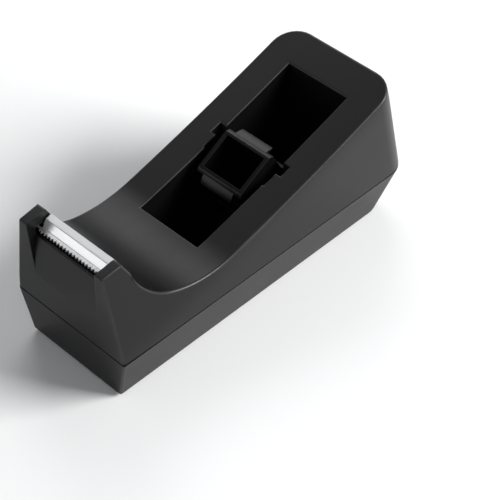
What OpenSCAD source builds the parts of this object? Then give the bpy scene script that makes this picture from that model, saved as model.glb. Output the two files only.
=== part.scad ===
// Weighted desk dispenser for adhesive tape on 25 mm cores.
// X runs from the nose (-X) to the back (+X), Y across the body, Z up.
// The origin is at the middle of the footprint, on the surface it stands on.

/* [Body] */
// Length over everything
body_length = 132; // [124:1:170]
// Width at the seam between shell and base
body_width = 46.4; // [44:0.2:60]
// Height of the top edge at the back
body_height = 55.9; // [53:0.1:70]
// Height of the seam between shell and base
seam_height = 18; // [16:0.5:20]
// How far the back leans forward from seam to top
rear_lean = 11.3; // [6:0.1:14]
// Radius of the upright corners at the back
corner_r = 9; // [4:0.5:11]
// Radius of the corners at the front of the base
front_corner_r = 0.7; // [0.4:0.1:4]
// Wall thickness of shell and base
wall = 2; // [1.4:0.1:2.4]

/* [Base] */
// Set-back of the base's lower front edge from the seam
foot_front_inset = 1.7; // [0.5:0.1:4]
// Set-back of the base's lower back edge from the seam
foot_rear_inset = 5.2; // [1:0.1:7]
// Set-back of each lower side edge from the seam
foot_side_inset = 3.8; // [1:0.1:4.5]
// Thickness of the base's floor
floor_t = 2.5; // [2:0.1:4]
// Height of the shadow gap round the seam
seam_gap = 0.4; // [0.2:0.1:0.8]
// Height of the lip that locates the shell
lip_h = 2.2; // [1:0.1:4]
// Thickness of that lip
lip_t = 1.2; // [0.8:0.1:2]
// Clearance between lip and shell
lip_clearance = 0.1; // [0.05:0.05:0.4]

/* [Pad] */
// Thickness of the foam pad
pad_t = 2; // [1:0.1:3]
// How far the pad stands out below the base
pad_proud = 0.8; // [0.4:0.1:1.5]
// Distance from the base's edge to the pad
pad_margin = 2.6; // [1.5:0.1:5]

/* [Deck and valley] */
// Distance of the valley's lowest line from the front
valley_x = 36.9; // [33:0.1:40]
// Height of the valley's lowest line
valley_z = 30.6; // [28:0.1:34]
// Radius of the valley's floor
valley_r = 41; // [30:1:50]
// Slope at which the valley's floor runs into the deck
deck_start_angle = 15.2; // [13:0.1:17]
// Slope at which the valley's floor runs into the nose curve
valley_front_angle = 18.8; // [14:0.1:24]
// Radius of the curve up the back of the nose
nose_curve_r = 21.3; // [18:0.1:22]
// Slope at the top of that curve
nose_back_angle = 75; // [70:1:80]

/* [Nose] */
// Height of the cheeks' front corners
nose_height = 50.5; // [49.5:0.1:54]
// Width over the cheeks at the top
nose_width = 34.8; // [33:0.2:40]
// Thickness of each cheek
cheek_t = 3.2; // [2.6:0.1:4]
// Length of each cheek's top
cheek_length = 7.5; // [6.5:0.1:8]
// Rise of each cheek's top towards the back
cheek_rise = 1.2; // [0:0.1:2]
// How far the front face leans forward from seam to cheek
front_lean = 2.4; // [1:0.1:4]
// Angle of the edge between body side and nose side
side_crease_angle = 17.7; // [12:0.1:24]
// Height at which the recessed front panel starts
panel_start_z = 28.8; // [24:0.1:34]
// Depth of the panel's top edge behind the front face
panel_depth = 2.7; // [2:0.1:3]
// Height of the panel's top edge
panel_top_z = 44.7; // [43:0.1:45]
// Width between the cheeks where the panel starts
panel_low_width = 26; // [22:0.2:28]

/* [Blade] */
// Thickness of the blade's steel strip
blade_t = 0.5; // [0.3:0.05:0.6]
// Distance of the tooth tips from the front
blade_tip_x = 3.9; // [3.5:0.1:4.4]
// Height of the tooth tips
blade_tip_z = 45.75; // [45.6:0.05:46]
// Length of the toothed flange, tip to bend
tooth_flange = 1.8; // [1.6:0.1:2]
// Run of the steep face between the two bends
blade_web_run = 1.4; // [1:0.1:1.8]
// Rise of the steep face between the two bends
blade_web_rise = 2.6; // [2.2:0.1:2.8]
// Length of the flat top flange
top_flange = 2.15; // [1.8:0.05:2.3]
// Rise of the top flange towards the back
top_flange_rise = 0.5; // [0:0.05:0.8]
// Distance between teeth
tooth_pitch = 1.32; // [1:0.02:1.8]
// Depth of the teeth
tooth_depth = 0.85; // [0.5:0.05:1]
// Gap between each end of the blade's bent strip and the cheek
blade_end_gap = 0.6; // [0.4:0.1:1.2]
// Length of the blade's tabs inside each cheek
blade_tab = 2; // [1:0.1:2.2]

/* [Tape well] */
// Distance of the well's front edge from the front
well_start = 42.9; // [41:0.1:48]
// Length of the well
well_length = 65.9; // [62:0.1:66]
// Width of the well
well_width = 24.4; // [22:0.1:27]
// Thickness of the well's walls
well_wall = 1.8; // [1.2:0.1:2]
// Height of the well's floor
well_floor_z = 5.2; // [5:0.1:7]
// Thickness of the well's floor
well_floor_t = 1.4; // [1:0.1:1.6]

/* [Tape core] */
// Distance of the core's axis from the front
core_x = 76.1; // [74:0.1:78]
// Height of the core's axis
core_z = 31.2; // [29:0.1:33]
// Radius of the core's curved corners
core_r = 12.3; // [12:0.1:12.6]
// Width of the core, for the width of the tape
core_width = 18.4; // [17:0.1:20]
// Half height of the core's frame, across the window
core_half_depth = 10.2; // [9:0.1:11]
// Length of the window through the core
window_length = 12.3; // [10:0.1:13]
// Thickness of the core's long walls
core_wall = 1.2; // [0.8:0.1:1.6]
// Thickness of the core's end walls
core_end_wall = 1.4; // [1:0.05:2]
// Tilt of the window towards the front
core_tilt = 30.7; // [0:0.1:60]
// Width of each spring finger
finger_width = 12.9; // [8:0.1:14]
// Height of a finger's free end above the curved corner
finger_lift = 0.85; // [0.4:0.05:1]
// Angle of arc that the bar beside the window takes up
bar_angle = 9; // [6:1:12]
// Angle of arc that each finger takes up
finger_angle = 14; // [8:1:18]
// Diameter of the stubs that turn in the slots
stub_d = 3.8; // [3.4:0.1:4.6]
// Clearance round each stub in its slot
stub_clearance = 0.1; // [0.05:0.01:0.2]
// How far each stub reaches past the well's side
stub_reach = 2.3; // [1.5:0.1:2.5]
// Diameter of the shoulder that centres the core
shoulder_d = 7.4; // [6:0.1:9]
// Gap between shoulder and well side
shoulder_gap = 0.35; // [0.2:0.05:0.8]

/* [Slots] */
// Lean of each slot towards the back
slot_lean = 12.9; // [0:0.1:16]
// Depth of each slot behind the well's side
slot_depth = 2.6; // [2:0.1:3]
// Length of the shallow lead-in before each slot
lead_in_length = 4.9; // [2:0.1:6]
// Depth of that lead-in
lead_in_depth = 0.6; // [0.3:0.1:1]
// Thickness of the boss behind each slot
boss_wall = 1.6; // [1:0.1:2]
// Length of that boss, with the axis at its middle
boss_length = 20; // [18:0.5:24]

/* [Fixings] */
// Diameter of the screws' shanks
screw_d = 2.9; // [2.5:0.1:3.5]
// Diameter of the screws' heads
screw_head_d = 5.6; // [5:0.1:6.5]
// Height of the screws' heads
screw_head_h = 2; // [1.5:0.1:2.4]
// Length of the screws under the head
screw_length = 12; // [8:0.5:16]
// Height of the seats inside the base that the posts stand on
seat_h = 1.8; // [1:0.1:3]
// Thickness of the base under each screw head
seat_t = 1.8; // [1.2:0.1:2.4]
// Diameter of the posts that the screws bite into
post_d = 6.6; // [6:0.1:8]
// Distance of the front screws from the front
front_screw_x = 14; // [13:0.1:16]
// Distance of the back screws from the well's end
rear_screw_gap = 8.2; // [7:0.1:9]
// Distance of the screws from the middle line
screw_y = 12.4; // [11:0.1:13]

/* [Weights] */
// Gap between a weight and what stands beside it
weight_gap = 0.6; // [0.4:0.1:1.5]
// Width of both weights
weight_width = 33; // [28:0.5:33]
// Height of the front weight
front_weight_h = 19; // [12:0.5:20]
// Height of the back weight
rear_weight_h = 34; // [20:0.5:36]
// Thickness of the ribs that hold the weights down
clamp_rib_t = 1.6; // [1:0.1:2.4]

/* [Hidden] */
$fn = 64;
eps = 0.02;
plastic = "#2b2b2d";
deep_plastic = "#1f1f21";
steel = "#d9dbdc";
iron = "#5c5a57";
foam = "#151515";

edge_h = 0.4; // height of the plain edge bands of the base's outer and inner forms
seam_depth = 0.6; // depth of the shadow gap
rebate_h = 2; // height of the set-back band under the seam
crease_start = 0.3; // height above the seam where the side crease leaves the front corner
room_drop = 3; // drop from the panel's top edge to the room under the nose
nose_edge_drop = 1.6; // drop from the cheeks' front corners to where the nose curve starts
front_lip_setback = 0.4; // extra set-back of the lip at the front, for the lean of the shell's wall
side_lip_setback = 0.45; // extra set-back of the lip at each side
rear_lip_setback = 0.9; // extra set-back of the lip at the rear
seat_run_on = [4, 0.9]; // run and rise of the gap's floor behind the blade
blade_root_gap = 0.3; // gap between the tooth roots and the panel's top
blade_rise_gap = 0.1; // rise of the toothed flange towards the back
tab_setback = 0.2; // distance of the blade's tabs from its first bend
notch_run_out = 0.4; // how far each notch runs out past the tooth tips
pocket_gap = 0.6; // room round each tab of the blade
pocket_h = 2.2; // height of that room
bore_gap = 0.4; // extra diameter of the holes for screw shanks and heads
pad_gap = 0.2; // gap round the pad in its pocket
pad_hole_gap = 1; // extra diameter of the pad's holes round the screw heads
rib_gap = 0.1; // gap between a rib and the weight below it
front_rib_start = 12; // set-back of the front ribs from the front weight's tip
front_rib_end = 2; // set-back of the front ribs from the front weight's back
rear_rib_length = 20; // length of the ribs over the back weight
panel_steps = 8; // straight steps that make up the panel's curve
far = 80; // reaches past the body from anywhere inside it

half_w = body_width / 2;
half_nose = nose_width / 2;
half_well = well_width / 2;
half_core = core_width / 2;
cheek_inner = half_nose - cheek_t;
seam_front_x = front_lean;
seam_rear_x = body_length;
top_rear_x = body_length - rear_lean;
rear_lean_angle = atan2(rear_lean, body_height - seam_height);
base_z = pad_proud;
floor_top = base_z + floor_t;
well_end = well_start + well_length;
well_bottom = well_floor_z - well_floor_t;
pilot_d = screw_d - 0.4;

// The nose's sides are planes that narrow by side_taper upwards and widen by side_run backwards
side_taper = (half_w - half_nose)
    / (nose_height - seam_height - crease_start + tan(side_crease_angle) * seam_front_x);
side_run = side_taper * tan(side_crease_angle);
side_norm = sqrt(1 + side_taper * side_taper + side_run * side_run);

// Points of an arc from heading h0 to h1, starting at p, that bends upwards as x grows
function rise(p, r, h0, h1, n) =
    [for (i = [0 : n]) let (h = h0 + (h1 - h0) * i / n)
        [p.x + r * (sin(h) - sin(h0)), p.y + r * (cos(h0) - cos(h))]];

// Points of the arc that leaves p at heading h and ends at q
function sweep_to(p, h, q, n) =
    let (chord = norm(q - p), half_turn = atan2(q.y - p.y, q.x - p.x) - h)
    [for (i = [0 : n]) let (t = i / n, k = abs(half_turn) < 0.01 ? t : sin(half_turn * t) / sin(half_turn))
        p + chord * k * [cos(h + half_turn * t), sin(h + half_turn * t)]];

function last(v) = v[len(v) - 1];
function reversed(v) = [for (i = [len(v) - 1 : -1 : 0]) v[i]];
function unit(v) = v / norm(v);
function left_of(v) = [-v.y, v.x];

// A path moved sideways by d, mitred at its bends
function moved(path, d) =
    [for (i = [0 : len(path) - 1])
        let (a = left_of(unit(path[min(i + 1, len(path) - 1)] - path[min(i, len(path) - 2)])),
             b = left_of(unit(path[max(i, 1)] - path[max(i - 1, 0)])))
        path[i] + d * (a + b) / (1 + a * b)];

// Deck, valley and the back of the nose, seen from the side, going backwards; sunk by t into the body
function top_line(t) =
    let (bottom = [valley_x, valley_z - t],
         front_start = bottom + (valley_r + t)
             * [-sin(valley_front_angle), 1 - cos(valley_front_angle)],
         nose_start = front_start + (nose_curve_r + t)
             * [sin(valley_front_angle) - sin(nose_back_angle),
                cos(valley_front_angle) - cos(nose_back_angle)],
         valley = rise(front_start, valley_r + t, -valley_front_angle, deck_start_angle, 14),
         deck_end = [top_rear_x, body_height - t / cos(deck_start_angle)])
    concat([nose_start + 12 * [-cos(nose_back_angle), sin(nose_back_angle)]],
           rise(nose_start, nose_curve_r + t, -nose_back_angle, -valley_front_angle, 16),
           [for (i = [1 : len(valley) - 1]) valley[i]],
           [for (q = sweep_to(last(valley), deck_start_angle, deck_end, 14)) q]);

module along_y(width) {
    translate([0, width / 2, 0]) rotate([90, 0, 0]) linear_extrude(width) children();
}

// Plan outline between x0 and x1, with its own corner radii at front and back
module plan(x0, x1, half, front_r, back_r, facets) {
    translate([x0 + front_r, -half]) square([x1 - x0 - front_r - back_r, 2 * half]);
    translate([x0, front_r - half]) square([front_r + eps, 2 * (half - front_r)]);
    translate([x1 - back_r - eps, back_r - half]) square([back_r + eps, 2 * (half - back_r)]);
    for (side = [-1, 1]) {
        translate([x0 + front_r, side * (half - front_r)]) circle(front_r, $fn = facets);
        translate([x1 - back_r, side * (half - back_r)]) circle(back_r, $fn = facets);
    }
}

// Everything ahead of the leaning back wall, with its rounded upright corners, sunk by t
module ahead_of_back(t) {
    translate([seam_rear_x, 0, seam_height]) rotate([0, -rear_lean_angle, 0])
        translate([-t, 0, -far]) linear_extrude(3 * far)
            plan(-body_length - far, 0, half_w - t, front_corner_r, corner_r - t, 64);
}

// What lies outside the nose's two slanting sides, sunk by t
module outside_nose(t) {
    for (side = [-1, 1])
        translate([seam_front_x, side * half_w, seam_height + crease_start])
            rotate([0, acos(side_taper / side_norm), atan2(side, -side_run)])
                translate([-2 * far, -2 * far, -t]) cube([4 * far, 4 * far, far]);
}

// Side view of the shell with its cheeks
module shell_side() {
    line = top_line(0);
    cheek_back = [cheek_length, nose_height + cheek_rise];
    polygon(concat([[seam_front_x, seam_height], [0, nose_height], cheek_back],
                   [for (q = line) if (q.y < nose_height - nose_edge_drop || q.x > valley_x) q],
                   [[seam_rear_x, seam_height]]));
}

// Side view of the room inside the shell
module shell_room_side() {
    line = top_line(wall);
    room_top = panel_top_z - room_drop;
    polygon(concat([[seam_front_x + wall, seam_height - 1]], panel_curve(room_top, wall),
                   [for (q = line) if (q.y < room_top || q.x > valley_x) q],
                   [[body_length + far, body_height - wall], [body_length + far, seam_height - 1]]));
}

// Front face at height z, and the panel that curves back from it
function front_x(z) = seam_front_x * (nose_height - z) / (nose_height - seam_height);
function panel_front_x(z) = front_x(z)
    + panel_depth * pow(max(0, z - panel_start_z) / (panel_top_z - panel_start_z), 2);
function panel_curve(top, t) =
    [for (i = [0 : panel_steps])
        let (z = panel_start_z + (top - panel_start_z) * i / panel_steps) [panel_front_x(z) + t, z]];

// Middle line of the blade's strip, from tooth tips to back edge
blade_path = [[blade_tip_x, blade_tip_z],
              [blade_tip_x + tooth_flange, blade_tip_z + blade_rise_gap],
              [blade_tip_x + tooth_flange + blade_web_run, blade_tip_z + blade_rise_gap + blade_web_rise],
              [blade_tip_x + tooth_flange + blade_web_run + top_flange,
               blade_tip_z + blade_rise_gap + blade_web_rise + top_flange_rise]];
seat_path = moved(blade_path, -blade_t / 2 - eps);

// What is cut away between the cheeks: the panel's set-back, the ledge under the teeth, the blade's seat
module nose_gap_side() {
    riser_x = blade_tip_x + tooth_depth + blade_root_gap;
    seat_end = seat_path[3] + seat_run_on;
    polygon(concat([[-far, panel_start_z]], panel_curve(panel_top_z, 0),
                   [[riser_x, panel_top_z], [riser_x, seat_path[0].y], seat_path[1], seat_path[2],
                    seat_path[3], seat_end, [seat_end.x, far], [-far, far]]));
}

// Round seat for a stub, with the slanted slot that leads up from it
module slot(side) {
    width = stub_d + 2 * stub_clearance;
    translate([core_x, side * half_well, core_z]) {
        rotate([90, 0, 0]) cylinder(d = width, h = 2 * slot_depth, center = true);
        rotate([0, slot_lean, 0]) translate([eps - width / 2, -slot_depth, 0])
            cube([width - 2 * eps, 2 * slot_depth, far]);
    }
}

// Shallow ramp in the well's side, just ahead of the slot
module lead_in(side) {
    translate([core_x, side * half_well, core_z]) rotate([0, slot_lean, 0])
        translate([-stub_d / 2 - lead_in_length, -lead_in_depth, 0])
            cube([lead_in_length + stub_d / 2, 2 * lead_in_depth, far]);
}

front_screws = [for (side = [-1, 1]) [front_screw_x, side * screw_y]];
rear_screws = [for (side = [-1, 1]) [well_end + well_wall + rear_screw_gap, side * screw_y]];
screws = concat(front_screws, rear_screws);
seat_top = floor_top + seat_h;
head_seat_z = seat_top - seat_t;

module upper_shell() {
    color(plastic) difference() {
        union() {
            difference() {
                shell_outside();
                shell_room();
            }
            intersection() {
                shell_outside();
                union() {
                    well_box();
                    slot_bosses();
                    clamp_ribs();
                    screw_posts(seam_height);
                }
            }
            well_skirt();
            intersection() {
                screw_posts(seat_top + eps);
                translate([0, -half_w, 0]) cube([body_length, body_width, seam_height + eps]);
            }
        }
        translate([well_start, -half_well, well_floor_z]) cube([well_length, well_width, far]);
        for (side = [-1, 1]) {
            slot(side);
            lead_in(side);
            blade_pocket(side);
        }
        between_cheeks();
        for (p = screws) translate([p.x, p.y, 0]) cylinder(d = pilot_d, h = head_seat_z + screw_length + 1);
    }
}

module shell_outside() {
    difference() {
        intersection() {
            along_y(body_width) shell_side();
            ahead_of_back(0);
        }
        outside_nose(0);
    }
}

module shell_room() {
    difference() {
        intersection() {
            along_y(body_width) shell_room_side();
            ahead_of_back(wall);
        }
        outside_nose(wall);
    }
}

module well_box() {
    translate([well_start - well_wall, -half_well - well_wall, seam_height - 1])
        cube([well_length + 2 * well_wall, well_width + 2 * well_wall, far]);
}

module well_skirt() {
    translate([well_start - well_wall, -half_well - well_wall, well_bottom])
        cube([well_length + 2 * well_wall, well_width + 2 * well_wall, seam_height - well_bottom]);
}

module slot_bosses() {
    reach = slot_depth + boss_wall;
    for (side = [-1, 1])
        translate([core_x - boss_length / 2, side > 0 ? half_well : -half_well - reach, core_z - stub_d])
            cube([boss_length, reach, far]);
}

module screw_posts(bottom) {
    for (p = screws) translate([p.x, p.y, bottom]) cylinder(d = post_d, h = far);
}

// Ribs under the shell that end just above the weights
module clamp_ribs() {
    for (side = [-1, 1]) {
        translate([front_weight_x0 + front_rib_start, side * screw_y / 2 - clamp_rib_t / 2,
                   floor_top + front_weight_h + rib_gap])
            cube([front_weight_x1 - front_weight_x0 - front_rib_start - front_rib_end, clamp_rib_t, far]);
        translate([rear_weight_x0, side * screw_y / 4 - clamp_rib_t / 2, floor_top + rear_weight_h + rib_gap])
            cube([rear_rib_length, clamp_rib_t, far]);
    }
}

// The gap between the cheeks, which narrows towards the bottom of the panel
module between_cheeks() {
    flare = (cheek_inner - panel_low_width / 2) / (nose_height - panel_start_z);
    half_top = cheek_inner + flare * (far - nose_height);
    intersection() {
        along_y(body_width) nose_gap_side();
        translate([-far, 0, 0]) rotate([90, 0, 90]) linear_extrude(2 * far)
            polygon([[-panel_low_width / 2, panel_start_z], [panel_low_width / 2, panel_start_z],
                     [half_top, far], [-half_top, far]]);
    }
}

// Room in each cheek for the blade's tab
module blade_pocket(side) {
    length = blade_tab + 2 * pocket_gap;
    start = cheek_inner - 1.6 * pocket_gap;
    translate([blade_tip_x - pocket_gap, side > 0 ? start : -start - length, blade_tip_z - blade_t])
        cube([tooth_flange + 2 * pocket_gap, length, pocket_h]);
}

module base_plan(inset, facets) {
    plan(seam_front_x + inset, seam_rear_x - inset, half_w - inset,
         front_corner_r, corner_r - min(inset, corner_r / 2), facets);
}

module foot_plan(inset, facets) {
    plan(seam_front_x + foot_front_inset + inset, seam_rear_x - foot_rear_inset - inset,
         half_w - foot_side_inset - inset, front_corner_r, corner_r - min(inset, corner_r / 2), facets);
}

// Plan of the locating lip, clear of the shell's leaning walls, sunk by inset
module lip_plan(inset, facets) {
    gap = wall + lip_clearance + inset;
    plan(seam_front_x + front_lip_setback + gap, seam_rear_x - rear_lip_setback - gap,
         half_w - side_lip_setback - gap, front_corner_r / 2, corner_r - gap, facets);
}

module base_tray() {
    color(deep_plastic) difference() {
        union() {
            hull() {
                translate([0, 0, base_z]) linear_extrude(edge_h) foot_plan(0, 32);
                translate([0, 0, seam_height - seam_gap - edge_h]) linear_extrude(edge_h) base_plan(0, 32);
            }
            translate([0, 0, seam_height - rebate_h]) {
                linear_extrude(rebate_h - eps) base_plan(seam_depth, 64);
                linear_extrude(rebate_h + lip_h) lip_plan(0, 64);
            }
        }
        difference() {
            hull() {
                translate([0, 0, floor_top]) linear_extrude(edge_h) foot_plan(wall, 32);
                translate([0, 0, seam_height + lip_h]) linear_extrude(edge_h) lip_plan(lip_t, 32);
            }
            for (p = screws) translate([p.x, p.y, 0]) cylinder(d = post_d, h = seat_top);
        }
        translate([0, 0, -1]) linear_extrude(1 + pad_t + eps) foot_plan(pad_margin - pad_gap, 64);
        for (p = screws) translate([p.x, p.y, 0]) {
            cylinder(d = screw_d + bore_gap, h = seam_height);
            cylinder(d = screw_head_d + bore_gap, h = head_seat_z);
        }
    }
}

module non_slip_pad() {
    color(foam) difference() {
        linear_extrude(pad_t) foot_plan(pad_margin, 64);
        for (p = screws) translate([p.x, p.y, -1]) cylinder(d = screw_head_d + pad_hole_gap, h = pad_t + 2);
    }
}

module base_screws() {
    cross = screw_head_d * 0.6;
    cross_t = cross / 4;
    color(steel) for (p = screws) translate([p.x, p.y, head_seat_z - eps - screw_head_h]) {
        difference() {
            cylinder(d = screw_head_d, h = screw_head_h);
            cube([cross, cross_t, screw_head_h], center = true);
            cube([cross_t, cross, screw_head_h], center = true);
        }
        translate([0, 0, screw_head_h - eps]) cylinder(d = pilot_d - 2 * eps, h = screw_length);
    }
}

module cutter_blade() {
    strip = concat(moved(blade_path, blade_t / 2), reversed(moved(blade_path, -blade_t / 2)));
    length = 2 * (cheek_inner - blade_end_gap);
    teeth = floor(length / tooth_pitch);
    tab_end = cheek_inner + blade_tab;
    notch_half = tooth_pitch / 2 * (1 + notch_run_out / tooth_depth);
    color(steel) difference() {
        union() {
            along_y(length) polygon(strip);
            along_y(2 * tab_end) intersection() {
                polygon(strip);
                translate([blade_tip_x + tooth_depth, 0])
                    square([tooth_flange - tooth_depth - tab_setback, far]);
            }
        }
        for (i = [0 : teeth])
            translate([blade_tip_x, (i - teeth / 2) * tooth_pitch, blade_tip_z - 2 * blade_t])
                linear_extrude(4 * blade_t)
                    polygon([[tooth_depth, 0], [-notch_run_out, -notch_half], [-notch_run_out, notch_half]]);
    }
}

// Seen from the side, with the window's length along x and its way through along y
module core_side() {
    half_window = window_length / 2;
    for (side = [-1, 1])
        translate([side > 0 ? half_window : -half_window - core_wall, -core_half_depth])
            square([core_wall, 2 * core_half_depth]);
    for (turn = [0, 1], side = [0, 1])
        mirror([turn, 0]) mirror([0, side]) core_arc(corner_angle, bar_angle, 0);
}

corner_angle = acos(core_half_depth / core_r);

// Curved strip that starts from the window's edge; its free end stands out by lift
module core_arc(start, span, lift) {
    n = 8;
    outer = [for (i = [0 : n]) let (a = start + span * i / n) (core_r + lift * i / n) * [sin(a), cos(a)]];
    inner = [for (i = [n : -1 : 0])
        let (a = start + span * i / n) (core_r + lift * i / n - core_wall) * [sin(a), cos(a)]];
    polygon(concat(outer, inner));
}

module tape_core() {
    color(plastic) translate([core_x, 0, core_z]) rotate([0, -core_tilt, 0]) {
        along_y(core_width) core_side();
        for (side = [-1, 1]) {
            translate([0, side * (half_core - core_end_wall / 2), 0]) along_y(core_end_wall) intersection() {
                circle(core_r - eps);
                square([2 * core_r * sin(corner_angle + bar_angle), 2 * core_half_depth], center = true);
            }
            translate([0, side * (half_core + half_well - shoulder_gap) / 2, 0]) rotate([90, 0, 0])
                cylinder(d = shoulder_d, h = half_well - shoulder_gap - half_core + eps, center = true);
            translate([0, side * (half_core + half_well + stub_reach) / 2, 0]) rotate([90, 0, 0])
                cylinder(d = stub_d, h = half_well + stub_reach - half_core + eps, center = true);
        }
        along_y(finger_width)
            for (turn = [0, 1], side = [0, 1]) mirror([turn, 0]) mirror([0, side])
                core_arc(corner_angle + bar_angle - 1, finger_angle, finger_lift);
    }
}

// Free half width between the posts of one pair
post_free = screw_y - post_d / 2 - weight_gap;
front_weight_x0 = seam_front_x + foot_front_inset + wall + lip_t + weight_gap;
front_weight_x1 = well_start - well_wall - weight_gap;
rear_weight_x0 = well_end + well_wall + weight_gap;

// A block with a narrower tongue that reaches forward between the front posts
module front_weight() {
    shoulder = front_screw_x + post_d / 2 + weight_gap;
    color(iron) translate([0, 0, floor_top + eps]) {
        translate([shoulder, -weight_width / 2, 0])
            cube([front_weight_x1 - shoulder, weight_width, front_weight_h]);
        translate([front_weight_x0, -post_free, 0])
            cube([shoulder + eps - front_weight_x0, 2 * post_free, front_weight_h]);
    }
}

// A block between the back posts, cut to the lean of base and shell
module rear_weight() {
    low_x = seam_rear_x - foot_rear_inset - wall - weight_gap;
    high_x = top_rear_x - wall - lip_t - 2 * weight_gap;
    seam_x = seam_rear_x - 2 * wall - lip_t - rear_lip_setback - weight_gap;
    color(iron) intersection() {
        translate([rear_weight_x0, -post_free, floor_top + eps]) cube([far, 2 * post_free, rear_weight_h]);
        along_y(body_width)
            polygon([[rear_weight_x0, floor_top], [low_x, floor_top], [seam_x, seam_height],
                     [high_x, body_height], [rear_weight_x0, body_height]]);
    }
}

translate([-body_length / 2, 0, 0]) upper_shell();
translate([-body_length / 2, 0, 0]) base_tray();
translate([-body_length / 2, 0, 0]) non_slip_pad();
translate([-body_length / 2, 0, 0]) cutter_blade();
translate([-body_length / 2, 0, 0]) tape_core();
translate([-body_length / 2, 0, 0]) front_weight();
translate([-body_length / 2, 0, 0]) rear_weight();
translate([-body_length / 2, 0, 0]) base_screws();
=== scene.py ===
import math

import bmesh
import bpy
from mathutils import Matrix, Vector


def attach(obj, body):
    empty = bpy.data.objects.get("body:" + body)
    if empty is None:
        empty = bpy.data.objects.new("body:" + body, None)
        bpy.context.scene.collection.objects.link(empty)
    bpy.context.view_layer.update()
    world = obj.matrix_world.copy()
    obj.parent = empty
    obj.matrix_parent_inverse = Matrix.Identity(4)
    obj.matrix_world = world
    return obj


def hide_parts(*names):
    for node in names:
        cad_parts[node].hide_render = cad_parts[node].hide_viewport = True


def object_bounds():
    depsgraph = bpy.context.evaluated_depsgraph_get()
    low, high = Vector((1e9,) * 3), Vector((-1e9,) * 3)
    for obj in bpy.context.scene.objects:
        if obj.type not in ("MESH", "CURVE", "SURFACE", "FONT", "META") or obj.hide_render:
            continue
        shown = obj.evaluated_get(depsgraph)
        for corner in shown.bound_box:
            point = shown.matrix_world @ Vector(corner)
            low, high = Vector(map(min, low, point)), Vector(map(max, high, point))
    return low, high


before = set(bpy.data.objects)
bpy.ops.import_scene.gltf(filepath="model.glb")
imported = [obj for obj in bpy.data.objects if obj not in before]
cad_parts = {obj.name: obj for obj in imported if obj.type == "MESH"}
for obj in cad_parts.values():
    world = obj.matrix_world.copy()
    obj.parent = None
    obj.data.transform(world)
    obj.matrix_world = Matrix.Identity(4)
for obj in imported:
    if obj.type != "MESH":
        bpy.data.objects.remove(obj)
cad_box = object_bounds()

# ---------------------------------------------------------------------------------------------
# Upper shell: one injection moulding in satin black ABS, from the cheeks at the nose to the high
# back, with the open well, the two slots and the screw posts moulded in. It drops over the base's
# lip and four screws pull it down. Sizes are in millimetres: x from the foremost point, z from the table.

BODY_LENGTH = (cad_box[1].x - cad_box[0].x) * 1000
HALF_LENGTH = BODY_LENGTH / 2
BACK_HEIGHT = cad_box[1].z * 1000
HALF_WIDTH = cad_box[1].y * 1000
SEAM = 18.0
FRONT_LEAN = 2.4
BACK_LEAN = 11.3
BACK_CORNER = 9.0
FRONT_CORNER = 0.7
NOSE_HEIGHT = 50.5
HALF_NOSE = 17.4
CHEEK_LENGTH = 7.5
CHEEK_TOP = ((2.6, 0.42), (5.0, 0.8), (CHEEK_LENGTH, 1.2))
CREASE = 17.7
SIDE_BLEND = 0.42
WALL = 2.0
VALLEY = Vector((36.9, 30.6))
VALLEY_RADIUS = 41.0
VALLEY_TO_DECK = 15.2
VALLEY_TO_NOSE = 18.8
NOSE_RADIUS = 21.3
NOSE_BACK = 75.0
WELL_START = 42.9
WELL_END = 108.8
HALF_WELL = 12.2
WELL_WALL = 1.8
WELL_FLOOR = 5.2
WELL_FLOOR_THICKNESS = 1.44
PANEL_START = 28.8
PANEL_TOP = 44.7
PANEL_DEPTH = 2.7
HALF_PANEL_LOW = 13.0
CHEEK_INNER = 14.2
CORE_X = 76.1
CORE_Z = 31.2
SLOT_WIDTH = 4.0
SLOT_DEPTH = 2.6
SLOT_LEAN = 12.9
LEAD_IN_LENGTH = 4.82
LEAD_IN_DEPTH = 0.6
SCREW_Y = 12.4
SCREW_X = (14.0, 118.8)
POST_RADIUS = 3.3
POST_BOTTOM = 5.12
BOSS_X = (-8.0, 10.0)
BOSS_Y = (2.0, 4.2)
BOSS_BELOW = 3.8
POCKET_X = (3.3, 6.3)
POCKET_Y = (13.2, 16.4)
POCKET_Z = (45.25, 47.45)
CHEEK_ROUND = 0.6
DECK_ROUND = 0.75
WELL_ROUND = 0.5
INNER_ROUND = 0.25
ABOVE = 90.0

back_slope = BACK_LEAN / (BACK_HEIGHT - SEAM)
side_taper = (HALF_WIDTH - HALF_NOSE) / (NOSE_HEIGHT - SEAM + math.tan(math.radians(CREASE)) * FRONT_LEAN)
side_run = side_taper * math.tan(math.radians(CREASE))


def arc_up(start, radius, first_heading, last_heading, steps):
    """Points of an arc in x and z that starts at one heading in degrees and bends up to another."""
    first, last = math.radians(first_heading), math.radians(last_heading)
    headings = [first + (last - first) * i / steps for i in range(steps + 1)]
    return [start + radius * Vector((math.sin(h) - math.sin(first), math.cos(first) - math.cos(h)))
            for h in headings]


def arc_to(start, heading, end, steps):
    """Points of the arc that leaves start at a heading in degrees and arrives at end."""
    chord = end - start
    turn = math.atan2(chord.y, chord.x) - math.radians(heading)
    points = []
    for i in range(steps + 1):
        part = i / steps
        reach = chord.length * math.sin(turn * part) / math.sin(turn)
        angle = math.radians(heading) + turn * part
        points.append(start + reach * Vector((math.cos(angle), math.sin(angle))))
    return points


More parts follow.
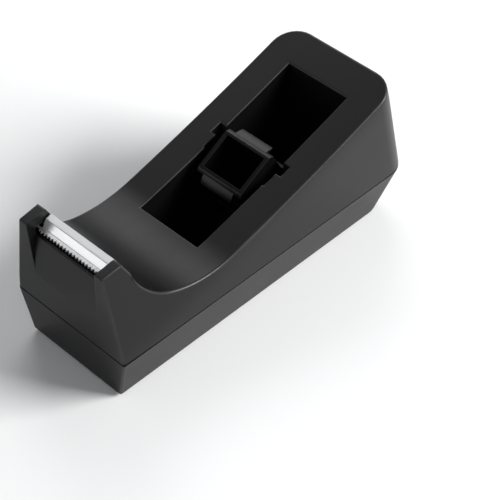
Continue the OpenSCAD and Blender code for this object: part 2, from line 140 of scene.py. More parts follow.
def top_line(sunk):
    """The nose's back, the valley and the deck seen from the side, sunk into the body by a wall."""
    bottom = VALLEY - Vector((0, sunk))
    front = math.radians(VALLEY_TO_NOSE)
    nose_back = math.radians(NOSE_BACK)
    valley_start = bottom + (VALLEY_RADIUS + sunk) * Vector((-math.sin(front), 1 - math.cos(front)))
    nose_start = valley_start + (NOSE_RADIUS + sunk) * Vector(
        (math.sin(front) - math.sin(nose_back), math.cos(nose_back) * -1 + math.cos(front)))
    nose = arc_up(nose_start, NOSE_RADIUS + sunk, -NOSE_BACK, -VALLEY_TO_NOSE, 28)
    valley = arc_up(valley_start, VALLEY_RADIUS + sunk, -VALLEY_TO_NOSE, VALLEY_TO_DECK, 26)
    deck_end = Vector((BODY_LENGTH - BACK_LEAN, BACK_HEIGHT - sunk * 1.04))
    deck = arc_to(valley[-1], VALLEY_TO_DECK, deck_end, 30)
    return nose + valley[1:] + deck[1:]


def height_on(line, x):
    """Height of a line of points at a distance x, going on straight past its ends."""
    for a, b in zip(line, line[1:]):
        if x <= b.x or b is line[-1]:
            return a.y + (b.y - a.y) * (x - a.x) / (b.x - a.x)


def half_width(x, z):
    """Half the shell's width: upright sides that run softly into the nose's slanting ones."""
    slanting = HALF_WIDTH - side_taper * (z - SEAM) + side_run * (x - FRONT_LEAN)
    difference = abs(slanting - HALF_WIDTH) / SIDE_BLEND
    return min(slanting, HALF_WIDTH) - SIDE_BLEND * math.log1p(math.exp(-difference))


def shell_columns(sunk):
    """Upright lines round one side of the shell, each as seam point, top point and corner turn."""
    line = [p for p in top_line(sunk) if p.y < NOSE_HEIGHT - 1.6 or p.x > VALLEY.x]
    corner = BACK_CORNER * math.hypot(1, back_slope)
    cheek = [Vector((sunk, NOSE_HEIGHT))] + [Vector((x, NOSE_HEIGHT + rise)) for x, rise in CHEEK_TOP]
    if sunk:
        roof = PANEL_TOP - 3
        line = [p for p in line if p.y < roof or p.x > VALLEY.x]
        cheek = [Vector((FRONT_LEAN * 0.4 + PANEL_DEPTH + sunk, roof)), Vector((line[0].x - 0.4, roof))]
    back_corner_x = BODY_LENGTH - corner
    flat = [p for p in cheek + line if p.x < BODY_LENGTH - BACK_LEAN - corner - 0.8]
    start_x = flat[0].x
    tops = [(p, 0.0) for p in flat]
    for step in range(9):
        turn = math.radians(90 * step / 8)
        point = Vector((BODY_LENGTH - BACK_LEAN, BACK_HEIGHT))
        for _ in range(12):
            inward = corner * (1 - math.sin(turn)) + sunk * 1.05 * math.sin(turn)
            point.x = BODY_LENGTH - inward - back_slope * (point.y - SEAM)
            point.y = height_on(line, point.x)
        tops.append((point, turn))
    last_flat = tops[-9][0].x
    columns = []
    for point, turn in tops:
        if turn or point.x == last_flat:
            bottom_x = point.x + back_slope * (point.y - SEAM)
        else:
            bottom_x = FRONT_LEAN + sunk * 1.1 + (point.x - start_x) * (
                back_corner_x - FRONT_LEAN - sunk * 1.1) / (last_flat - start_x)
        columns.append((Vector((bottom_x, SEAM)), point, turn))
    return columns


def form_from_columns(columns, sunk, rows, low):
    """Closed form whose walls stand on the columns: one ring of points, extruded row by row."""
    form = bmesh.new()

    def place(verts, part):
        for vert, (side, (bottom, top, turn)) in zip(verts, ring):
            at = bottom.lerp(top, part)
            corner = BACK_CORNER * (1 - math.cos(turn))
            half = half_width(at.x, at.y) - sunk * 1.02 - corner * (1 - sunk / BACK_CORNER)
            vert.co = Vector((at.x, side * half, at.y if part else low))

    ring = [(-1, c) for c in columns] + [(1, c) for c in reversed(columns)]
    verts = [form.verts.new() for _ in ring]
    edges = [form.edges.new((a, b)) for a, b in zip(verts, verts[1:] + verts[:1])]
    place(verts, 0)
    bmesh.ops.contextual_create(form, geom=edges)
    for row in range(1, rows + 1):
        grown = bmesh.ops.extrude_edge_only(form, edges=edges)["geom"]
        below = set(verts)
        pairs = {}
        for vert in (g for g in grown if isinstance(g, bmesh.types.BMVert)):
            for edge in vert.link_edges:
                if edge.other_vert(vert) in below:
                    pairs[edge.other_vert(vert)] = vert
        verts = [pairs[v] for v in verts]
        place(verts, row / rows)
        edges = [form.edges.get((a, b)) for a, b in zip(verts, verts[1:] + verts[:1])]
    count = len(columns)
    chains = [edges[:count - 1], edges[count:2 * count - 1]]
    bmesh.ops.bridge_loops(form, edges=chains[0] + chains[1])
    bmesh.ops.recalc_face_normals(form, faces=form.faces)
    return form


def round_over(form, wanted, radius, segments=4):
    """Rounds the edges that a test picks."""
    edges = [e for e in form.edges if len(e.link_faces) == 2 and wanted(e)]
    bmesh.ops.bevel(form, geom=edges, offset=radius, offset_type="OFFSET", segments=segments,
                    profile=0.5, affect="EDGES", material=-1, clamp_overlap=False)


def pulled_out(corners, way):
    """A flat outline of corners, pulled out one way into a closed form."""
    form = bmesh.new()
    face = form.faces.new([form.verts.new(corner) for corner in corners])
    grown = bmesh.ops.extrude_face_region(form, geom=[face])["geom"]
    bmesh.ops.translate(form, vec=way, verts=[g for g in grown if isinstance(g, bmesh.types.BMVert)])
    bmesh.ops.recalc_face_normals(form, faces=form.faces)
    return form


def plate_outline(points, low_y, high_y):
    """A flat outline in x and z, pulled out across the body from low_y to high_y."""
    return pulled_out([(p[0], low_y, p[1]) for p in points], (0, high_y - low_y, 0))


def block(low, high, lean=0.0, about=(0, 0, 0)):
    """A box from corner to corner, leant backwards about a point by an angle in degrees."""
    form = bmesh.new()
    size = Vector(high) - Vector(low)
    middle = (Vector(low) + Vector(high)) / 2
    place = (Matrix.Translation(about) @ Matrix.Rotation(math.radians(lean), 4, "Y")
             @ Matrix.Translation(middle - Vector(about)) @ Matrix.Diagonal((*size, 1)))
    bmesh.ops.create_cube(form, size=1, matrix=place)
    return form


def peg(radius, start, end, segments=48):
    """A round bar from start to end."""
    form = bmesh.new()
    way = Vector(end) - Vector(start)
    middle = (Vector(start) + Vector(end)) / 2
    place = Matrix.Translation(middle) @ way.to_track_quat("Z", "Y").to_matrix().to_4x4()
    bmesh.ops.create_cone(form, cap_ends=True, segments=segments, radius1=radius, radius2=radius,
                          depth=way.length, matrix=place)
    return form


def combined(form, tool, how):
    """The form after a tool has been joined to it, cut from it or laid over it; the tool is used up."""
    objects = []
    for source in (form, tool):
        mesh = bpy.data.meshes.new("work")
        source.to_mesh(mesh)
        source.free()
        objects.append(bpy.data.objects.new("work", mesh))
        bpy.context.scene.collection.objects.link(objects[-1])
    step = objects[0].modifiers.new("work", "BOOLEAN")
    step.object, step.operation, step.solver = objects[1], how, "EXACT"
    result = objects[0].evaluated_get(bpy.context.evaluated_depsgraph_get()).to_mesh()
    made = bmesh.new()
    made.from_mesh(result)
    for item in objects:
        mesh = item.data
        bpy.data.objects.remove(item)
        bpy.data.meshes.remove(mesh)
    bmesh.ops.remove_doubles(made, verts=made.verts, dist=0.002)
    return made


WORN_AND_HIGHLIT_WIDTH = 0.00016
WORN_AND_HIGHLIT_BEND = 6


def finished(name, form, sharp_angle=38):
    """Makes the form a piece, in metres in the frame, and marks its rounded edges for wear and a painted
    edge highlight.
    """
    bmesh.ops.transform(form, matrix=Matrix.Scale(0.001, 4) @ Matrix.Translation((-HALF_LENGTH, 0, 0)),
                        verts=form.verts)
    # Narrow rounded edge strips get a mask that paints them lighter: partly wear, partly a painted
    # highlight.
    worn_and_highlit = form.verts.layers.float.new("worn_and_highlit")
    for vert in form.verts:
        bends = [e.calc_face_angle_signed(0.0) for e in vert.link_edges if len(e.link_faces) == 2]
        narrow = all(f.calc_area() < WORN_AND_HIGHLIT_WIDTH * f.calc_perimeter() for f in vert.link_faces)
        vert[worn_and_highlit] = 1.0 if narrow and max(bends, default=0) > math.radians(WORN_AND_HIGHLIT_BEND) else 0.0
    for face in form.faces:
        face.smooth = True
    mesh = bpy.data.meshes.new(name)
    form.to_mesh(mesh)
    form.free()
    mesh.set_sharp_from_angle(angle=math.radians(sharp_angle))
    piece = bpy.data.objects.new(name, mesh)
    bpy.context.scene.collection.objects.link(piece)
    even = piece.modifiers.new("flat faces stay flat", "WEIGHTED_NORMAL")
    even.keep_sharp = True
    return piece


class Signal:
    """A shader value that sums and products can be written with; node() makes any other node."""

    def __init__(self, tree, socket):
        self.tree, self.socket = tree, socket

    def node(self, kind, settings=None, inputs=None, output=0):
        made = self.tree.nodes.new(kind)
        for name, value in (settings or {}).items():
            setattr(made, name, value)
        for key, value in (inputs or {}).items():
            if isinstance(value, Signal):
                self.tree.links.new(value.socket, made.inputs[key])
            else:
                made.inputs[key].default_value = value
        return Signal(self.tree, made.outputs[output])

    def maths(self, operation, first, second):
        return self.node("ShaderNodeMath", {"operation": operation}, {0: first, 1: second})

    def __add__(self, other):
        return self.maths("ADD", self, other)

    def __radd__(self, other):
        return self.maths("ADD", other, self)

    def __sub__(self, other):
        return self.maths("SUBTRACT", self, other)

    def __rsub__(self, other):
        return self.maths("SUBTRACT", other, self)

    def __mul__(self, other):
        return self.maths("MULTIPLY", self, other)

    def __rmul__(self, other):
        return self.maths("MULTIPLY", other, self)

    def wave(self):
        return self.maths("SINE", self, 0.0)

    def clamped(self, low=0.0, high=1.0):
        return self.node("ShaderNodeClamp", None, {"Value": self, "Min": low, "Max": high})

    def noise(self, scale, detail=2.0, stretch=(1, 1, 1)):
        """Cloudy values about 0.5 at so many cells a metre."""
        placed = self.node("ShaderNodeMapping", None, {"Vector": self, "Scale": stretch})
        return self.node("ShaderNodeTexNoise", None, {"Vector": placed, "Scale": scale, "Detail": detail})

    def between(self, first, second):
        """A colour between two, by this value."""
        return self.node("ShaderNodeMix", {"data_type": "RGBA"}, {0: self, 6: first, 7: second}, output=2)


def new_finish(name):
    """An empty material with its shader and the object's own coordinates."""
    finish = bpy.data.materials.new(name)
    finish.use_nodes = True
    tree = finish.node_tree
    shader = tree.nodes["Principled BSDF"]
    return finish, shader, Signal(tree, None).node("ShaderNodeTexCoord", output=3)


def feed(shader, **signals):
    """Links signals to the shader's sockets, or sets the sockets that stay the same all over."""
    for name, value in signals.items():
        socket = shader.inputs[name.replace("_", " ").title().replace("Ior", "IOR")]
        if isinstance(value, Signal):
            value.tree.links.new(value.socket, socket)
        else:
            socket.default_value = value


SHEEN = 0.27
SATIN_BLACK = (0.0045, 0.0045, 0.0049, 1)


def black_moulding(name, colour, roughness, grain_depth):
    """Satin black moulding: fine spark-eroded grain, faint flow clouds and polished edges, painted lighter
    as wear and as a painted highlight.
    """
    finish, shader, place = new_finish(name)
    worn_and_highlit = place.node("ShaderNodeAttribute", {"attribute_name": "worn_and_highlit"}, output=2)
    clouds = place.noise(38, 3)
    grain = place.noise(3400, 2)
    streaks = place.noise(240, 2, (0.2, 1, 1))
    # Lighter colour on the edge strips: partly real wear, partly a painted highlight along the rounded
    # edges.
    wear_and_highlight_colour = tuple(c * 2 + 0.02 for c in colour[:3]) + (1,)
    darker = tuple(c * 0.82 for c in colour[:3]) + (1,)
    body = clouds.between(darker, colour)
    wear_and_highlight = (worn_and_highlit * (0.5 + streaks * 0.7)).clamped()
    shade = wear_and_highlight.between(body, wear_and_highlight_colour)
    dull = roughness + (clouds - 0.5) * 0.07 + (streaks - 0.5) * 0.05 - worn_and_highlit * 0.05
    bump = grain.node("ShaderNodeBump", None, {"Height": grain, "Strength": 0.5, "Distance": grain_depth})
    feed(shader, base_color=shade, roughness=dull.clamped(0.08, 0.9), normal=bump)
    shader.inputs["Specular IOR Level"].default_value = SHEEN
    return finish


def front_face(z):
    return FRONT_LEAN * (NOSE_HEIGHT - z) / (NOSE_HEIGHT - SEAM)


BLADE_SEAT = [(5.05, PANEL_TOP), (5.05, 45.55), (5.55, 45.58), (7.2, 48.2), (9.35, 48.7), (13.2, 49.6)]
PANEL_STEPS = 16
PANEL_PROUD = 0.04


def tapered_gap():
    """What is open between the cheeks: the curved panel, the step under the teeth, the blade's seat."""
    panel = []
    for i in range(PANEL_STEPS + 1):
        part = i / PANEL_STEPS
        z = PANEL_START + (PANEL_TOP - PANEL_START) * part
        panel.append((front_face(z) + PANEL_DEPTH * part ** 2 - PANEL_PROUD * (1 - part), z))
    outside = [(BLADE_SEAT[-1][0], ABOVE), (-20, ABOVE), (-20, PANEL_START)]
    gap = plate_outline(panel + BLADE_SEAT + outside, -1, 1)
    flare = (CHEEK_INNER - HALF_PANEL_LOW) / (NOSE_HEIGHT - PANEL_START)
    for vert in gap.verts:
        vert.co.y *= HALF_PANEL_LOW + flare * (vert.co.z - PANEL_START)
    return gap


shell = form_from_columns(shell_columns(0.0), 0.0, 18, SEAM)
deck_line = top_line(0.0)


def on_cheek_top(vert):
    return vert.co.z > NOSE_HEIGHT - 0.05 and vert.co.x < CHEEK_LENGTH + 0.05


def at_front_corner(edge):
    """Upright edges between the front face and the nose's sides."""
    a, b = (v.co for v in edge.verts)
    return (abs(a.z - b.z) > 0.3 and a.y * b.y > 0
            and all(p.x <= front_face(p.z) + 0.02 for p in (a, b)))


def at_top(edge):
    return edge.calc_face_angle(0) > math.radians(50) and min(v.co.z for v in edge.verts) > SEAM + 1


def at_cheek_rim(edge):
    return at_top(edge) and all(on_cheek_top(v) for v in edge.verts)


def at_deck_rim(edge):
    a, b = edge.verts
    return at_top(edge) and not (on_cheek_top(a) or on_cheek_top(b)) and abs(a.co.y * b.co.y) > 100


round_over(shell, at_front_corner, FRONT_CORNER, 5)
round_over(shell, at_cheek_rim, CHEEK_ROUND, 5)
round_over(shell, at_deck_rim, DECK_ROUND, 5)

room = form_from_columns(shell_columns(WALL), WALL, 6, SEAM - 1)
box_front, box_back, box_half = WELL_START - WELL_WALL, WELL_END + WELL_WALL, HALF_WELL + WELL_WALL
keep = block((box_front, -box_half, 0), (box_back, box_half, ABOVE))
for side in (-1, 1):
    boss = block((CORE_X + BOSS_X[0], side * (HALF_WELL + BOSS_Y[0]), CORE_Z - BOSS_BELOW),
                 (CORE_X + BOSS_X[1], side * (HALF_WELL + BOSS_Y[1]), ABOVE))
    keep = combined(keep, boss, "UNION")
    for x in SCREW_X:
        post = peg(POST_RADIUS, (x, side * SCREW_Y, 0), (x, side * SCREW_Y, ABOVE))
        keep = combined(keep, post, "UNION")
room = combined(room, keep, "DIFFERENCE")
shell = combined(shell, room, "DIFFERENCE")
skirt = block((box_front, -box_half, WELL_FLOOR - WELL_FLOOR_THICKNESS), (box_back, box_half, SEAM + 0.5))
shell = combined(shell, skirt, "UNION")
for side in (-1, 1):
    for x in SCREW_X:
        post = peg(POST_RADIUS, (x, side * SCREW_Y, POST_BOTTOM), (x, side * SCREW_Y, SEAM + 0.5))
        shell = combined(shell, post, "UNION")
well = block((WELL_START, -HALF_WELL, WELL_FLOOR), (WELL_END, HALF_WELL, ABOVE))
shell = combined(shell, well, "DIFFERENCE")
for side in (-1, 1):
    inner, outer = side * (HALF_WELL - 1), side * (HALF_WELL + SLOT_DEPTH)
    seat = peg(SLOT_WIDTH / 2, (CORE_X, inner, CORE_Z), (CORE_X, outer, CORE_Z))
    shell = combined(shell, seat, "DIFFERENCE")
    slot_half = SLOT_WIDTH / 2 - 0.02
    slot = block((CORE_X - slot_half, min(inner, outer), CORE_Z),
                 (CORE_X + slot_half, max(inner, outer), ABOVE), SLOT_LEAN, (CORE_X, 0, CORE_Z))
    shell = combined(shell, slot, "DIFFERENCE")
    ramp_end = side * (HALF_WELL + LEAD_IN_DEPTH)
    ramp = block((CORE_X - slot_half - LEAD_IN_LENGTH, min(inner, ramp_end), CORE_Z),
                 (CORE_X, max(inner, ramp_end), ABOVE), SLOT_LEAN, (CORE_X, 0, CORE_Z))
    shell = combined(shell, ramp, "DIFFERENCE")
shell = combined(shell, tapered_gap(), "DIFFERENCE")
for side in (-1, 1):
    low_y, high_y = sorted(side * y for y in POCKET_Y)
    pocket = block((POCKET_X[0], low_y, POCKET_Z[0]), (POCKET_X[1], high_y, POCKET_Z[1]))
    shell = combined(shell, pocket, "DIFFERENCE")


def at_well_rim(edge):
    return edge.calc_face_angle(0) > math.radians(40) and all(
        v.co.x > 15 and abs(v.co.z - height_on(deck_line, v.co.x)) < 0.03
        and abs(v.co.y) < HALF_WELL + SLOT_DEPTH + 0.2 for v in edge.verts)


def at_cheek_inside(edge):
    """Edges on the cheeks' inner faces, but not those of the blade's pockets."""
    return (edge.calc_face_angle(0) > math.radians(50) and edge.is_convex
            and all(v.co.z > PANEL_START + 0.2 and v.co.x < CHEEK_LENGTH + 2.1
                    and HALF_PANEL_LOW - 0.2 < abs(v.co.y) < CHEEK_INNER + 0.3 for v in edge.verts)
            and not all(POCKET_Z[0] - 0.05 < v.co.z < POCKET_Z[1] + 0.05 for v in edge.verts))


round_over(shell, at_well_rim, WELL_ROUND, 4)
round_over(shell, at_cheek_inside, INNER_ROUND, 2)
upper_shell = finished("upper_shell_moulding", shell)
upper_shell.data.materials.append(black_moulding("satin_black_shell", SATIN_BLACK, 0.36, 0.000008))
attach(upper_shell, "housing")
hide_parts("upper_shell")

# ---------------------------------------------------------------------------------------------
# Base tray: the lower moulding, tapering inwards down to the foot, with a thin shadow gap under
# the shell. It holds both weights between ribs and takes the pad in a shallow pocket below.

FOOT = 0.8
FOOT_FRONT = 1.7
FOOT_BACK = 5.2
FOOT_SIDE = 3.8
FLOOR_TOP = 3.3
GAP_HEIGHT = 0.55
GAP_DEPTH = 0.6
LIP_HEIGHT = 2.2
LIP_INSET = 2.95
REBATE = 2.0
SHANK_HOLE = 1.65
HEAD_HOLE = 3.0
PAD_MARGIN = 2.6
PAD_THICKNESS = 2.0
SEAT_TOP = 5.1
HEAD_SEAT = 3.3
FOOT_ROUND = 0.5
RIM_ROUND = 0.15


def plan_ring(front, back, half, front_corner, back_corner):
    """A plan outline with rounded corners, as points in x and y."""
    points = []
    for end_x, side, radius, first in ((back, 1, back_corner, 0), (front, 1, front_corner, 90),
                                       (front, -1, front_corner, 180), (back, -1, back_corner, 270)):
        centre = Vector((end_x + (radius if end_x == front else -radius), side * (half - radius)))
        for i in range(11):
            angle = math.radians(first + 9 * i)
            points.append(centre + radius * Vector((math.cos(angle), math.sin(angle))))
    return points


def tapered_form(rings):
    """A closed form through plan outlines at their heights."""
    form = bmesh.new()
    loops = []
    for height, points in rings:
        verts = [form.verts.new((p.x, p.y, height)) for p in points]
        loops.append([form.edges.new((a, b)) for a, b in zip(verts, verts[1:] + verts[:1])])
    for low, high in zip(loops, loops[1:]):
        bmesh.ops.bridge_loops(form, edges=low + high)
    bmesh.ops.contextual_create(form, geom=loops[0])
    bmesh.ops.contextual_create(form, geom=loops[-1])
    bmesh.ops.recalc_face_normals(form, faces=form.faces)
    return form


def seam_ring(inset, front=0.0, back=0.0, side=0.0):
    """The body's outline at the seam, moved in all round and further at its front, back and sides."""
    return plan_ring(FRONT_LEAN + front + inset, BODY_LENGTH - back - inset, HALF_WIDTH - side - inset,
                     FRONT_CORNER, BACK_CORNER - min(inset, BACK_CORNER / 2))


def foot_ring(inset):
    return seam_ring(inset, FOOT_FRONT, FOOT_BACK, FOOT_SIDE)


rim = SEAM - GAP_HEIGHT
tray = tapered_form([(FOOT, foot_ring(0.0)), (rim, seam_ring(0.0))])
round_over(tray, lambda e: all(v.co.z < FOOT + 0.01 for v in e.verts), FOOT_ROUND, 4)
round_over(tray, lambda e: all(v.co.z > rim - 0.01 for v in e.verts), RIM_ROUND, 3)
gap_floor, lip = seam_ring(GAP_DEPTH), seam_ring(LIP_INSET)
tray = combined(tray, tapered_form([(SEAM - REBATE, gap_floor), (SEAM - 0.02, gap_floor)]), "UNION")
tray = combined(tray, tapered_form([(SEAM - REBATE, lip), (SEAM + LIP_HEIGHT, lip)]), "UNION")
hollow = tapered_form([(FLOOR_TOP, foot_ring(WALL)), (SEAM + LIP_HEIGHT + 1, seam_ring(LIP_INSET + 1.25))])
screw_places = [(x, side * SCREW_Y) for x in SCREW_X for side in (-1, 1)]
for x, y in screw_places:
    hollow = combined(hollow, peg(POST_RADIUS, (x, y, 0), (x, y, SEAT_TOP)), "DIFFERENCE")
tray = combined(tray, hollow, "DIFFERENCE")
pad_edge = foot_ring(PAD_MARGIN - 0.2)
tray = combined(tray, tapered_form([(0, pad_edge), (PAD_THICKNESS + 0.02, pad_edge)]), "DIFFERENCE")
for x, y in screw_places:
    tray = combined(tray, peg(SHANK_HOLE, (x, y, 0), (x, y, SEAM)), "DIFFERENCE")
    tray = combined(tray, peg(HEAD_HOLE, (x, y, 0), (x, y, HEAD_SEAT)), "DIFFERENCE")
base_tray = finished("base_tray_moulding", tray)
base_tray.data.materials.append(black_moulding("satin_black_base", SATIN_BLACK, 0.38, 0.000009))
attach(base_tray, "housing")
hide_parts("base_tray")

# ---------------------------------------------------------------------------------------------
# Cutter blade: a strip of bright rolled steel, pressed into two bends and toothed along its front.
# Its toothed flange runs on into a slot in each cheek, which holds the blade down.

BLADE_THICKNESS = 0.5
TIP = Vector((3.9, 45.62))
BLADE_BENDS = [TIP, Vector((4.55, 45.84)), Vector((5.7, 45.86)), Vector((7.1, 48.45)),
               Vector((9.25, 48.95))]
HALF_BLADE = 13.6
HALF_TOOTHED = 15.6
TOOTH_PITCH = 1.32
TOOTH_DEPTH = 0.85
NOTCH_RUN_OUT = 0.4
BEND_ROUND = 0.22
FLANGE = ((4.75, 45.59), (5.45, 45.6), (5.45, 46.09), (4.75, 46.09))


def sideways(path, distance):
    """A bent line moved sideways by a distance, mitred at its bends."""
    moved = []
    for i, point in enumerate(path):
        before = (path[max(i, 1)] - path[max(i - 1, 0)]).normalized()
        after = (path[min(i + 1, len(path) - 1)] - path[min(i, len(path) - 2)]).normalized()
        normals = Vector((-before.y, before.x)), Vector((-after.y, after.x))
        moved.append(point + (normals[0] + normals[1]) * distance / (1 + normals[0].dot(normals[1])))
    return moved


def strip_outline(path):
    return sideways(path, BLADE_THICKNESS / 2) + sideways(path, -BLADE_THICKNESS / 2)[::-1]


def at_blade_bend(edge):
    a, b = (v.co for v in edge.verts)
    return abs(a.y - b.y) > 1 and 4.8 < a.x < 8.5 and edge.calc_face_angle(0) > math.radians(20)


blade = plate_outline(strip_outline(BLADE_BENDS), -HALF_BLADE, HALF_BLADE)
round_over(blade, at_blade_bend, BEND_ROUND, 3)
blade = combined(blade, plate_outline(FLANGE, -HALF_TOOTHED, HALF_TOOTHED), "UNION")
teeth = int(2 * HALF_BLADE / TOOTH_PITCH)
for i in range(teeth + 1):
    middle = (i - teeth / 2) * TOOTH_PITCH
    half = TOOTH_PITCH / 2 * (1 + NOTCH_RUN_OUT / TOOTH_DEPTH)
    front = TIP.x - NOTCH_RUN_OUT
    notch = [(TIP.x + TOOTH_DEPTH, middle, TIP.y - 2), (front, middle - half, TIP.y - 2),
             (front, middle + half, TIP.y - 2)]
    blade = combined(blade, pulled_out(notch, (0, 0, 4)), "DIFFERENCE")
cutter_blade = finished("cutter_blade_strip", blade, 30)

HATCH_PITCH = 9000
CREASE_LINE = (7.15 - HALF_LENGTH) / 1000
GROOVE_LINE = (5.4 - HALF_LENGTH) / 1000


def rolled_steel():
    """Bright steel strip: a cross-hatched top flange, a smooth pressed face, faint rolling clouds and
    painted shade darkening the toothed flange.
    """
    finish, shader, place = new_finish("rolled_steel")
    lengthways = place.node("ShaderNodeSeparateXYZ", None, {0: place}, 0)
    across = place.node("ShaderNodeSeparateXYZ", None, {0: place}, 1)
    top = ((lengthways - CREASE_LINE) * 6000).clamped()
    # The toothed flange is painted darker grey: painted shade on the same steel as the rest of the strip.
    toothed_painted_shade = ((GROOVE_LINE - lengthways) * 3000).clamped()
    hatch = ((across + lengthways) * HATCH_PITCH).wave()
    counter = ((across - lengthways) * HATCH_PITCH).wave()
    clouds = place.noise(260, 3)
    drawn = place.noise(1500, 2, (1, 0.06, 1))
    smooth_tint = clouds.between((0.86, 0.865, 0.87, 1), (0.93, 0.93, 0.935, 1))
    hatched_tint = (0.5 + hatch * counter * 0.5).between((0.74, 0.74, 0.75, 1), (0.95, 0.95, 0.96, 1))
    shade = toothed_painted_shade.between(top.between(smooth_tint, hatched_tint), (0.38, 0.38, 0.39, 1))
    relief = hatch * counter * top * 0.5 + drawn * 0.4
    bump = relief.node("ShaderNodeBump", None, {"Height": relief, "Strength": 0.35, "Distance": 0.00001})
    feed(shader, base_color=shade, metallic=0.6, normal=bump,
         roughness=(0.3 + top * 0.22 + (clouds - 0.5) * 0.08).clamped(0.1, 0.7))
    return finish


cutter_blade.data.materials.append(rolled_steel())
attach(cutter_blade, "housing")
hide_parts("cutter_blade")

# ---------------------------------------------------------------------------------------------
# Tape core: one small black moulding that the roll is pushed onto. Two end walls carry the stubs
# that turn in the slots; curved bars and sprung fingers between them grip the cardboard core.

CORE_RADIUS = 12.3
CORE_TILT = 30.7
CORE_HALF_WIDTH = 9.2
CORE_HALF_DEPTH = 10.2
CORE_WALL = 1.2
CORE_END_WALL = 1.4
HALF_WINDOW = 6.15
BAR_TURN = 9.0
FINGER_TURN = 14.0
FINGER_LIFT = 0.85
HALF_FINGER = 6.45
SIDE_ROOM = 7.9
STUB_RADIUS = 1.9
SHOULDER_RADIUS = 3.7
SHOULDER_GAP = 0.35
STUB_REACH = 2.3
FINGER_ROOT = 1.5
CORE_BLACK = (0.0038, 0.0038, 0.0041, 1)
corner_turn = math.degrees(math.acos(CORE_HALF_DEPTH / CORE_RADIUS))


def curved_strip(first, turn, lift, steps=8):
    """Outline of a curved wall, from an angle off the upright, whose end stands out by a lift."""
    outer, inner = [], []
    for i in range(steps + 1):
        angle = math.radians(first + turn * i / steps)
        radius = CORE_RADIUS + lift * i / steps
        way = Vector((math.sin(angle), math.cos(angle)))
        outer.append(way * radius)
        inner.append(way * (radius - CORE_WALL))
    return outer + inner[::-1]


def at_finger_corner(edge):
    """The short edges at a finger's free end, which run from its outer to its inner face."""
    a, b = (v.co for v in edge.verts)
    last_turn = corner_turn + BAR_TURN + FINGER_TURN - 1.5
    return (abs(a.y - b.y) < 0.01
            and all(math.degrees(math.atan2(abs(p.x), abs(p.z))) > last_turn for p in (a, b))
            and abs(math.hypot(a.x, a.z) - math.hypot(b.x, b.z)) > 0.8)


bar_reach = CORE_RADIUS * math.sin(math.radians(corner_turn + BAR_TURN))
end_disc = peg(CORE_RADIUS, (0, -CORE_HALF_WIDTH, 0), (0, CORE_HALF_WIDTH, 0), 96)
flat = block((-bar_reach, -20, -CORE_HALF_DEPTH), (bar_reach, 20, CORE_HALF_DEPTH))
end_disc = combined(end_disc, flat, "INTERSECT")
cavity = HALF_WINDOW + CORE_WALL
inside = CORE_HALF_WIDTH - CORE_END_WALL
core = combined(end_disc, block((-HALF_WINDOW, -inside, -20), (HALF_WINDOW, inside, 20)), "DIFFERENCE")
for turn in (-1, 1):
    side_room = [(turn * x, z) for x, z in ((cavity, SIDE_ROOM), (cavity, -SIDE_ROOM),
                                            (20, -SIDE_ROOM), (20, SIDE_ROOM))]
    core = combined(core, plate_outline(side_room, -inside, inside), "DIFFERENCE")
    for up in (-1, 1):
        strip = curved_strip(corner_turn + BAR_TURN - FINGER_ROOT, FINGER_TURN + 0.5, FINGER_LIFT)
        finger = plate_outline([Vector((p.x * turn, p.y * up)) for p in strip], -HALF_FINGER, HALF_FINGER)
        round_over(finger, at_finger_corner, 1.0, 5)
        core = combined(core, finger, "UNION")
for side in (-1, 1):
    shoulder = peg(SHOULDER_RADIUS, (0, side * (CORE_HALF_WIDTH - 0.3), 0),
                   (0, side * (HALF_WELL - SHOULDER_GAP), 0), 64)
    stub = peg(STUB_RADIUS, (0, side * (CORE_HALF_WIDTH - 0.2), 0), (0, side * (HALF_WELL + STUB_REACH), 0))
    round_over(stub, lambda e: all(abs(v.co.y) > HALF_WELL + 2 for v in e.verts), 0.3, 3)
    round_over(shoulder, lambda e: all(abs(v.co.y) > HALF_WELL - 0.6 for v in e.verts), 0.3, 3)
    core = combined(core, shoulder, "UNION")
    core = combined(core, stub, "UNION")
round_over(core, lambda e: e.is_convex and e.calc_face_angle(0) > math.radians(40)
           and all(abs(v.co.y) < CORE_HALF_WIDTH + 0.05 for v in e.verts)
           and e.calc_length() > 0.5, 0.18, 2)
tilted = Matrix.Translation((CORE_X, 0, CORE_Z)) @ Matrix.Rotation(math.radians(-CORE_TILT), 4, "Y")
bmesh.ops.transform(core, matrix=tilted, verts=core.verts)
tape_core = finished("tape_core_moulding", core)
tape_core.data.materials.append(black_moulding("satin_black_core", CORE_BLACK, 0.32, 0.000004))
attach(tape_core, "core")
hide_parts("tape_core")

# ---------------------------------------------------------------------------------------------
# Weights: two raw iron castings under the nose and behind the well. They stand on the base's
# floor, and ribs inside the shell hold them down. They keep their frame shapes.


def raw_casting():
    """Sand-cast iron: coarse skin, dark scale and a few rust-brown clouds."""
    finish, shader, place = new_finish("raw_casting")
    skin = place.noise(900, 4)
    clouds = place.noise(70, 4)
    scale = clouds.between((0.055, 0.05, 0.047, 1), (0.16, 0.14, 0.125, 1))
    rust = (place.noise(150, 3) * 3 - 1.6).clamped()
    shade = rust.between(scale, (0.13, 0.07, 0.04, 1))
    bump = skin.node("ShaderNodeBump", None, {"Height": skin, "Strength": 0.7, "Distance": 0.00015})
    feed(shader, base_color=shade, metallic=0.55, normal=bump,
         roughness=(0.55 + skin * 0.3).clamped(0.2, 0.95))
    return finish


casting = raw_casting()
for node in ("front_weight", "rear_weight"):
    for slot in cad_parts[node].material_slots:
        slot.material = casting

# ---------------------------------------------------------------------------------------------
# Pad: closed-cell foam sheet, die-cut with four round holes and stuck in the base's pocket. It
# keeps its frame shape and stands a little proud of the base.


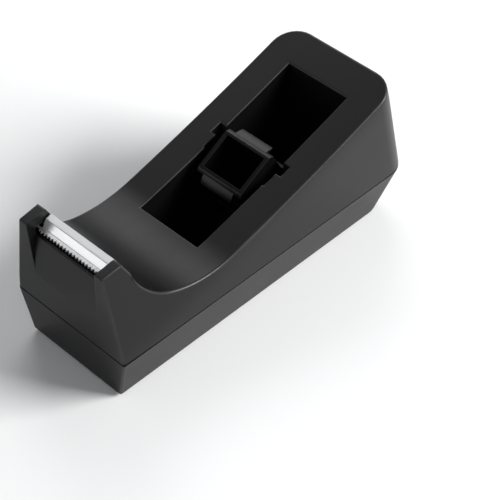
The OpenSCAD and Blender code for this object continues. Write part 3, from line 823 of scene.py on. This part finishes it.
def cell_foam():
    """Black foam: small open cells at the skin, dusty flats."""
    finish, shader, place = new_finish("cell_foam")
    cells = place.node("ShaderNodeTexVoronoi", None, {"Vector": place, "Scale": 1500.0}, output=0)
    dust = place.noise(60, 4)
    shade = dust.between((0.011, 0.011, 0.011, 1), (0.032, 0.031, 0.03, 1))
    bump = cells.node("ShaderNodeBump", None, {"Height": cells, "Strength": 0.6, "Distance": 0.00012})
    feed(shader, base_color=shade, roughness=(0.82 + dust * 0.14).clamped(), normal=bump)
    return finish


foam = cell_foam()
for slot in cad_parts["non_slip_pad"].material_slots:
    slot.material = foam

# ---------------------------------------------------------------------------------------------
# Screws: four zinc-plated self-tapping screws with cross recesses, sunk in the pad's holes. They
# bite into the shell's posts.


def zinc_plate():
    """Zinc plate: bright blue-white with grey clouds and fine turning marks."""
    finish, shader, place = new_finish("zinc_plate")
    clouds = place.noise(700, 3)
    marks = place.noise(5000, 2, (1, 1, 0.1))
    tint = clouds.between((0.42, 0.43, 0.45, 1), (0.66, 0.67, 0.69, 1))
    bump = marks.node("ShaderNodeBump", None, {"Height": marks, "Strength": 0.4, "Distance": 0.00002})
    feed(shader, base_color=tint, metallic=1.0, roughness=(0.26 + clouds * 0.2).clamped(), normal=bump)
    return finish


plating = zinc_plate()
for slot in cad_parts["base_screws"].material_slots:
    slot.material = plating

# ---------------------------------------------------------------------------------------------
# Studio: a pale seamless floor, a broad light behind the body that draws the valley's soft
# highlight, a strong one low on the right, a weak one in front and a card that the blade mirrors.


def soft_light(name, place, aim, size, power, colour=(1, 1, 1)):
    lamp = bpy.data.lights.new(name, "AREA")
    lamp.shape, lamp.size, lamp.size_y = "RECTANGLE", size[0], size[1]
    lamp.energy, lamp.color = power, colour
    holder = bpy.data.objects.new(name, lamp)
    holder.location = place
    holder.rotation_mode = "QUATERNION"
    holder.rotation_quaternion = (Vector(aim) - Vector(place)).to_track_quat("-Z", "Y")
    bpy.context.scene.collection.objects.link(holder)


soft_light("back_light", (0.42, 0.52, 0.62), (0, 0, 0.02), (0.5, 0.5), 2.2)
soft_light("side_fill", (0.9, -1.15, 0.9), (0, 0, 0.02), (0.9, 0.7), 39)
soft_light("front_fill", (-1.1, -0.9, 1.3), (0, 0, 0.02), (0.9, 0.9), 2)
soft_light("blade_card", (-1.2, 0.65, 0.16), (-0.06, 0, 0.047), (0.5, 0.5), 1.5)

world = bpy.data.worlds.new("studio")
world.use_nodes = True
world.node_tree.nodes["Background"].inputs["Color"].default_value = (0.95, 0.97, 1, 1)
world.node_tree.nodes["Background"].inputs["Strength"].default_value = 0.24
bpy.context.scene.world = world

floor_form = bmesh.new()
just_below = Matrix.Translation((0, 0, -0.0001))
bmesh.ops.create_grid(floor_form, x_segments=2, y_segments=2, size=6, matrix=just_below)
floor_mesh = bpy.data.meshes.new("floor")
floor_form.to_mesh(floor_mesh)
floor_form.free()
floor = bpy.data.objects.new("floor", floor_mesh)
bpy.context.scene.collection.objects.link(floor)
paper = bpy.data.materials.new("paper")
paper.use_nodes = True
paper.node_tree.nodes["Principled BSDF"].inputs["Base Color"].default_value = (0.96, 0.96, 0.96, 1)
paper.node_tree.nodes["Principled BSDF"].inputs["Roughness"].default_value = 0.9
floor.data.materials.append(paper)

AZIMUTH = -48.6552
ELEVATION = 44.0931
ROLL = 3.0005
CAMERA_PLACE = Vector((-0.2710, -0.2514, 0.3642))
LENS = 115.4
FILM_WIDTH = 36
turn, tilt, roll = (math.radians(a) for a in (AZIMUTH, ELEVATION, ROLL))
back = Vector((math.sin(turn) * math.cos(tilt), -math.cos(turn) * math.cos(tilt), math.sin(tilt)))
level_right = Vector((math.cos(turn), math.sin(turn), 0))
level_up = back.cross(level_right)
right = level_right * math.cos(roll) + level_up * math.sin(roll)
up = level_up * math.cos(roll) - level_right * math.sin(roll)
lens = bpy.data.cameras.new("camera")
lens.lens, lens.sensor_width = LENS, FILM_WIDTH
lens.clip_start, lens.clip_end = 0.02, 20
camera = bpy.data.objects.new("camera", lens)
camera.matrix_world = Matrix.Translation(CAMERA_PLACE) @ Matrix((right, up, back)).transposed().to_4x4()
bpy.context.scene.collection.objects.link(camera)
bpy.context.scene.camera = camera
bpy.context.scene.view_settings.view_transform = "Standard"
